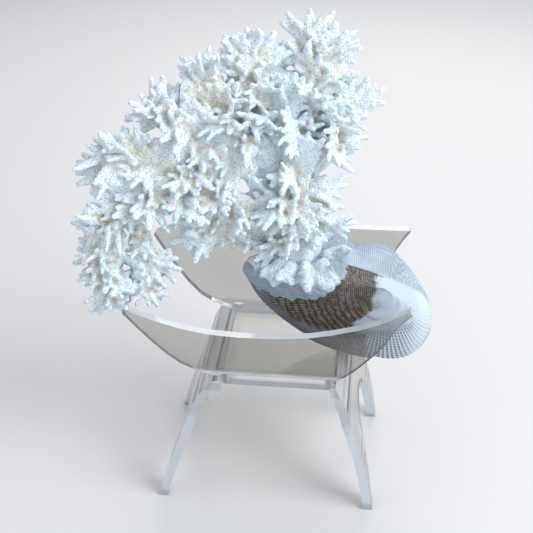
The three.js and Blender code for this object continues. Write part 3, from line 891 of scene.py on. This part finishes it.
coral_white = coral_paint("bleached_coral", (0.80, 0.91, 0.975, 1), (0.77, 0.75, 0.66, 1),
                          (0.38, 0.41, 0.42, 1))
# The crust's colours are darker than the coral's: its own greyer tone, with painted shade because it lies
# under the coral.
crust_white = coral_paint("coral_crust_skin", (0.72, 0.84, 0.92, 1), (0.62, 0.63, 0.60, 1),
                          (0.34, 0.38, 0.41, 1), (0.34, 0.42, 0.50, 1))
for piece in coral_pieces:
    dress(piece, crust_white if piece is base else coral_white)
print("coral material has", len(coral_white.node_tree.nodes), "nodes")

# %% [markdown]
# ## Shell colours
# The old shell is chalk white where its beak is worn. Below that the growth bands show dark
# brown and grey-buff under the fine ribs. The end by the beak is paler with dark dots in the
# grooves, and the lower edge is grey-lavender with a brown margin. Most of these patterns run
# along rays from the beak or along rings round it, so those two are worked out first.

# %% Rays, rings and clouds on the shell
BEAK_X, BEAK_Z = 0.092, 0.168
shell_skin, tree, shader, spot = material("ribbed_shell")
grown, turn = spot.stored("grown"), spot.stored("around")
x = spot.axis(0) - float(SHIFT[0])
y = spot.axis(1) - float(SHIFT[1])
level = spot.axis(2)
cloud, sway, speck = spot.noise(60.0, 5.0), spot.noise(150.0, 2.0), spot.noise(420.0, 3.0)
run, rise = x - BEAK_X, level - BEAK_Z
radius = spot.maths("SQRT", run * run + rise * rise)
angle = spot.maths("ARCTAN2", rise, run)
ribs = (turn * (2 * math.pi * RIBS)).wave()
riblets = (angle * 230.0).wave()
lines = (radius * 4600.0 + cloud * 3.0).wave()
wander = (cloud - 0.5) * 0.018 + (speck - 0.5) * 0.004
print("nodes for the shell's directions", len(tree.nodes))

# %% [markdown]
# The brown zone is built up in layers, darkest first: mottled brown, buff beads between the
# growth bands, a reddish stain towards the beak, and a fine net of pale lines over it all.

# %% Brown growth bands
bands = (radius * 1330.0 + cloud * 6.0 + sway * 7.0).wave()
tone = (cloud * 1.9 + bands * 0.35 + speck * 0.8 - 0.85).ease(0.25, 1.0)
brown = tone.blend((0.018, 0.012, 0.010, 1), (0.085, 0.072, 0.058, 1))
patch = 1 - (level - cloud * 0.03 - sway * 0.02).ease(0.118, 0.140)
beads = (riblets.ease(0.2, 0.8) * 0.7 + 0.2) * speck.ease(0.34, 0.56)
brown = (patch * (1 - bands.ease(0.3, 0.7)) * beads).blend(brown, (0.34, 0.31, 0.24, 1))
rust = (bands * 0.9 + speck * 0.4 + (x - 0.02) * 3.0 - (level - 0.145) * 12.0).ease(0.8, 1.1)
brown = (rust * 0.85).blend(brown, (0.040, 0.011, 0.007, 1))
net = (riblets.ease(0.45, 0.95) * 0.5 + lines.ease(0.5, 0.95) * 0.4) * (speck * 2.2 - 0.5)
brown = (net * (1 - rust * 0.55)).blend(brown, (0.42, 0.40, 0.34, 1))
print("nodes with the brown zone", len(tree.nodes))

# %% [markdown]
# Below the brown zone the shell is grey-lavender, and its open edge is a darker ribbed grey. On
# the beak's end the ribs are pale with dark dots in their grooves.

# %% Grey edge and pale ribs
grey = (lines * 0.4 + speck * 0.7 + riblets * 0.2).ease(0.35, 0.95)
grey = grey.blend((0.13, 0.105, 0.11, 1), (0.56, 0.57, 0.64, 1))
coat = (level + wander).ease(0.122, 0.134).blend(grey, brown)
rim = (lines * 0.5 + speck * 0.9).ease(0.4, 1.0).blend((0.09, 0.10, 0.115, 1), (0.28, 0.32, 0.35, 1))
edge = (grown + (cloud - 0.5) * 0.06).ease(0.80, 0.90) * (1 - x.ease(0.025, 0.05))
coat = edge.blend(coat, rim)
rows = (radius * 2200.0 + turn * 60.0).wave()
dots = (1 - ribs).ease(0.45, 0.85) * rows.ease(0.3, 0.6)
dotted = (1 - level.ease(0.134, 0.158)) * (1 - x.ease(0.090, 0.104))
pale = ribs.blend((0.50, 0.60, 0.72, 1), (0.70, 0.78, 0.86, 1))
pale = (dots * dotted * 0.95).blend(pale, (0.06, 0.06, 0.10, 1))
print("nodes with the grey edge and the ribs", len(tree.nodes))

# %% [markdown]
# Chalk white covers the worn beak down to a ragged border. A fine crack crosses it, a brown
# margin follows the lower rim, and the gap between the valves shows dark on top. The back valve
# is plain blue-grey, and so is the inside, which nobody sees.

# %% Chalk, cracks and the back valve
drop = 0.155 - level
low = drop.maths("MINIMUM", drop.maths("MAXIMUM", drop, 0.0), 0.016)
border = x - 0.075 + low + wander * 0.8
chalk = border.ease(-0.002, 0.002) * (level + wander).ease(0.128, 0.140)
coat = chalk.blend(coat, (0.54, 0.63, 0.74, 1))
fan = (x - level.ease(0.132, 0.146) * 0.005 + wander).ease(0.064, 0.070) * (1 - chalk)
coat = fan.blend(coat, pale)
white = (x + wander).ease(0.094, 0.104)
coat = (white * 0.8).blend(coat, (0.62, 0.72, 0.80, 1))
crack = abs(level - 0.150 + (x - 0.060) * 0.30 + wander * 1.2)
crack = (1 - crack.ease(0.0002, 0.0007)) * x.ease(0.055, 0.060) * (1 - x.ease(0.082, 0.088))
coat = (crack * 0.8).blend(coat, (0.20, 0.09, 0.05, 1))
margin = (grown + cloud * 0.03).ease(0.970, 1.0) * (1 - level.ease(0.115, 0.13)) * x.ease(0.04, 0.06)
coat = (margin * 0.8).blend(coat, (0.17, 0.12, 0.09, 1))
back = (lines * 0.3 + cloud * 0.9).ease(0.3, 0.9).blend((0.30, 0.37, 0.44, 1), (0.50, 0.60, 0.69, 1))
coat = y.ease(0.0, 0.003).blend(coat, back)
seam = (1 - abs(y).ease(0.0004, 0.0012)) * x.ease(0.040, 0.046) * (1 - (x + wander).ease(0.072, 0.080))
coat = (seam * 0.85).blend(coat, (0.055, 0.050, 0.050, 1))
coat = spot.stored("inside").blend(coat, (0.56, 0.62, 0.68, 1))
relief = (1 - chalk * 0.8) * (riblets * 0.5 + lines * 0.4) + speck * 0.3
bump = spot.node("ShaderNodeBump", Height=relief, Strength=0.6, Distance=0.0005)
feed(tree, shader, Base_Color=coat, Roughness=0.55 + speck * 0.25, Normal=bump)
for piece in valves:
    dress(piece, shell_skin)
print("shell material has", len(tree.nodes), "nodes")

# %% [markdown]
# ## Clear acrylic
# The stand's solid already has its true shape, so it stays. Its faces are clear acrylic, and its sawn edges
# and bends get a painted highlight. So two shaders are mixed: clear plastic, and a half clear pale one, the
# painted highlight, where the face looks along the sheet or sits in a bend. Below the seat the legs' sheets
# face left and right, and above it the flaps face front and back.

# %% Acrylic material
ACRYLIC_IOR = 1.49
acrylic, tree, shader, spot = material("clear_acrylic")
shader.inputs["Base Color"].default_value = (0.60, 0.59, 0.565, 1)
shader.inputs["Transmission Weight"].default_value = 1.0
shader.inputs["IOR"].default_value = ACRYLIC_IOR
shader.inputs["Roughness"].default_value = 0.02
# Painted highlight: a pale half clear shader for the sawn edges and bends.
cut = tree.nodes.new("ShaderNodeBsdfPrincipled")
cut.inputs["Transmission Weight"].default_value = 0.45
cut.inputs["IOR"].default_value = ACRYLIC_IOR
height = spot.axis(2)
facing = Wire(tree, tree.nodes["Texture Coordinate"].outputs["Normal"])
upper = height.ease(0.105, 0.108)
lower = 1 - height.ease(0.088, 0.092)
bend = (1 - upper - lower) * (1 - abs(facing.axis(2)).ease(0.9, 0.98)) * 0.8
flap_edge = upper * (1 - abs(facing.axis(1)).ease(0.4, 0.7))
leg_edge = lower * (1 - abs(facing.axis(0)).ease(0.3, 0.6))
# The painted highlight's colour, palest in the bends.
painted_edge_highlight = bend.blend((0.78, 0.83, 0.88, 1), (0.94, 0.95, 0.96, 1))
feed(tree, cut, Base_Color=painted_edge_highlight, Roughness=bend * 0.4 + 0.1)
mixer = tree.nodes.new("ShaderNodeMixShader")
tree.links.new((flap_edge + leg_edge + bend).socket, mixer.inputs[0])
tree.links.new(shader.outputs[0], mixer.inputs[1])
tree.links.new(cut.outputs[0], mixer.inputs[2])
tree.links.new(mixer.outputs[0], tree.nodes["Material Output"].inputs["Surface"])
print("acrylic material has", len(tree.nodes), "nodes")

# %% [markdown]
# The solid's mesh is loose triangles. They are welded, and its cut edges get a tiny polished
# round, which is what catches the light on real acrylic. Weighted normals keep the big faces
# flat next to those rounds.

# %% Polish the stand
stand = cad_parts["cradle_stand"]
for slot in stand.material_slots:
    slot.material = acrylic
weld = stand.modifiers.new("weld", "WELD")
weld.merge_threshold = 0.00001
polish = stand.modifiers.new("polish", "BEVEL")
polish.width = 0.0005
polish.segments = 2
polish.limit_method = "ANGLE"
polish.angle_limit = math.radians(40)
flat_faces = stand.modifiers.new("flat_faces", "WEIGHTED_NORMAL")
flat_faces.keep_sharp = True
print("the stand has", len(stand.data.polygons), "triangles before the polish")

# %% [markdown]
# ## Floor, light and camera
# A plain pale floor that curves up behind, so that no corner shows.

# %% Floor
def sweep_floor():
    """A flat floor whose far part curves up: a profile in Y and Z, drawn out along X."""
    y = np.concatenate([np.linspace(-3, 1.6, 20), 1.6 + 0.8 * np.sin(np.linspace(0.1, 1.57, 14)),
                        np.full(6, 2.4)])
    z = np.concatenate([np.zeros(20), 0.8 - 0.8 * np.cos(np.linspace(0.1, 1.57, 14)),
                        np.linspace(0.9, 3.5, 6)])
    x = np.linspace(-4, 4, 12)
    grid = np.stack(np.broadcast_arrays(x[None], y[:, None], z[:, None]), -1).reshape(-1, 3)
    i, j = np.meshgrid(np.arange(len(y) - 1), np.arange(len(x) - 1), indexing="ij")
    a = i * len(x) + j
    faces = np.stack([a, a + 1, a + 1 + len(x), a + len(x)], -1).reshape(-1, 4)
    floor = to_mesh("studio_floor", (grid - SHIFT) * 1000, faces)
    floor.data.polygons.foreach_set("use_smooth", np.ones(len(faces), bool))
    return floor


floor = sweep_floor()
paint, tree, shader, spot = material("pale_floor")
shader.inputs["Base Color"].default_value = (0.69, 0.69, 0.69, 1)
shader.inputs["Roughness"].default_value = 0.9
dress(floor, paint)
print("floor faces", len(floor.data.polygons))

# %% [markdown]
# The light is soft and mostly from the right and above, with a weak fill on the left, one lamp
# behind that lights the acrylic's edges, and an even pale sky.

# %% Lights
def soft_light(name, place, aim, size, power, colour):
    """A square lamp that faces a point."""
    lamp = bpy.data.lights.new(name, "AREA")
    lamp.size = size
    lamp.energy = power
    lamp.color = colour
    made = bpy.data.objects.new(name, lamp)
    made.location = place
    made.rotation_euler = (Vector(aim) - Vector(place)).to_track_quat("-Z", "Y").to_euler()
    bpy.context.scene.collection.objects.link(made)
    return made


MIDDLE = (0.0, 0.0, 0.2)
lamps = [
    soft_light("key", (0.95, -0.45, 1.1), MIDDLE, 0.9, 15, (0.97, 0.98, 1.0)),
    soft_light("fill", (-0.9, -0.7, 0.7), MIDDLE, 0.8, 0.5, (0.88, 0.95, 1.0)),
    soft_light("back", (0.1, 1.0, 0.9), MIDDLE, 0.8, 6, (1.0, 0.98, 0.96)),
]
world = bpy.data.worlds.new("studio")
world.use_nodes = True
sky = world.node_tree.nodes["Background"]
sky.inputs["Color"].default_value = (0.92, 0.95, 1.0, 1)
sky.inputs["Strength"].default_value = 0.68
bpy.context.scene.world = world
bpy.context.scene.view_settings.view_transform = "Standard"
print("lamps", [(lamp.name, round(lamp.data.energy, 1)) for lamp in lamps])

# %% [markdown]
# The camera stands in front, a little to the right and 30 degrees above, with a fairly long
# lens, so that upright lines stay nearly straight.

# %% Camera
LENS_ANGLE, AZIMUTH, ELEVATION, AWAY = (math.radians(27), math.radians(6), math.radians(30), 0.780)
lens = bpy.data.cameras.new("camera")
lens.sensor_width = 36
lens.angle = LENS_ANGLE
camera = bpy.data.objects.new("camera", lens)
aim = Vector((SHIFT[0] - 0.005, SHIFT[1], 0.164))
way = Vector((math.sin(AZIMUTH) * math.cos(ELEVATION), -math.cos(AZIMUTH) * math.cos(ELEVATION),
              math.sin(ELEVATION)))
camera.location = aim + way * AWAY
camera.rotation_euler = (-way).to_track_quat("-Z", "Y").to_euler()
bpy.context.scene.collection.objects.link(camera)
bpy.context.scene.camera = camera
print("camera at", [round(v, 3) for v in camera.location])

# %% [markdown] The scene ends with the camera.
# The visual model has to stay inside the solid model's box, apart from a little.
